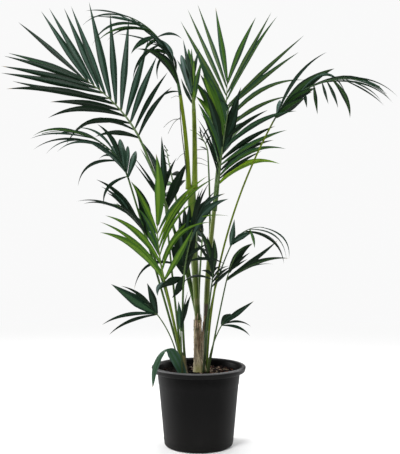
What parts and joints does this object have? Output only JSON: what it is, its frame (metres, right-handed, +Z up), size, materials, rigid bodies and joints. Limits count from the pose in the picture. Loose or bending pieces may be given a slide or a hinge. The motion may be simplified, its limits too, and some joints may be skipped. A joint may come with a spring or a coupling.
{
  "type": "potted kentia palm",
  "caption": "Clump-grown kentia palm with arching feather fronds on slender stalks, in a round black nursery pot of bark compost.",
  "frame": {"origin": "middle of the pot's flat underside, on the surface that the pot stands on", "axes": "+Z up along the trunk, +X to the right of the broad side, which faces -Y"},
  "size_m": [1.0192, 0.682, 1.1509],
  "materials": {
    "pot": "satin charcoal",
    "soil": "moist bark compost",
    "bark": "fibrous, ringed",
    "green_stem": "smooth, waxy",
    "leaf_dark": "leathery leaf",
    "leaf_mid": "leathery leaf",
    "leaf_bright": "leathery leaf"
  },
  "bodies": {
    "root": {"pot": "pot", "soil": "soil", "trunk": "bark", "sheath": "green_stem", "stem_right": "green_stem", "stem_left": "bark", "stem_front_left": "bark", "stalk_upper_left": "green_stem", "stalk_crest": "green_stem", "stalk_spear": "green_stem", "stalk_upper_right": "green_stem", "stalk_centre_right": "green_stem", "stalk_rear_thin": "green_stem", "stalk_far_right": "green_stem", "stalk_far_left": "green_stem", "stalk_left": "green_stem", "stalk_left_bright": "green_stem", "stalk_left_inner": "green_stem", "stalk_heart": "green_stem", "stalk_right_inner": "green_stem", "stalk_low_right": "green_stem", "stalk_low_right_rear": "green_stem", "stalk_young_left": "green_stem", "stalk_young_right": "green_stem", "stalk_young_pair": "green_stem", "stalk_rear_left": "green_stem", "stalk_rear_right": "green_stem", "stalk_rear_low": "green_stem", "frond_upper_left": "leaf_dark", "frond_crest_inner": "leaf_dark", "frond_crest_outer": "leaf_dark", "frond_spear": "leaf_bright", "frond_upper_right": "leaf_mid", "frond_centre_right": "leaf_mid", "frond_rear_thin": "leaf_mid", "frond_far_right_inner": "leaf_dark", "frond_far_right_outer": "leaf_dark", "frond_far_left_inner": "leaf_dark", "frond_far_left_outer": "leaf_dark", "frond_left": "leaf_dark", "frond_left_bright": "leaf_bright", "frond_left_inner": "leaf_dark", "frond_heart": "leaf_dark", "frond_right_inner": "leaf_mid", "frond_low_right": "leaf_dark", "frond_low_right_rear": "leaf_dark", "frond_young_left": "leaf_dark", "frond_young_right": "leaf_dark", "frond_young_pair": "leaf_dark", "frond_rear_left": "leaf_mid", "frond_rear_right": "leaf_mid", "frond_rear_low": "leaf_mid", "rim_leaf_inner": "leaf_dark", "rim_leaf_outer": "leaf_dark"}
  },
  "joints": []
}
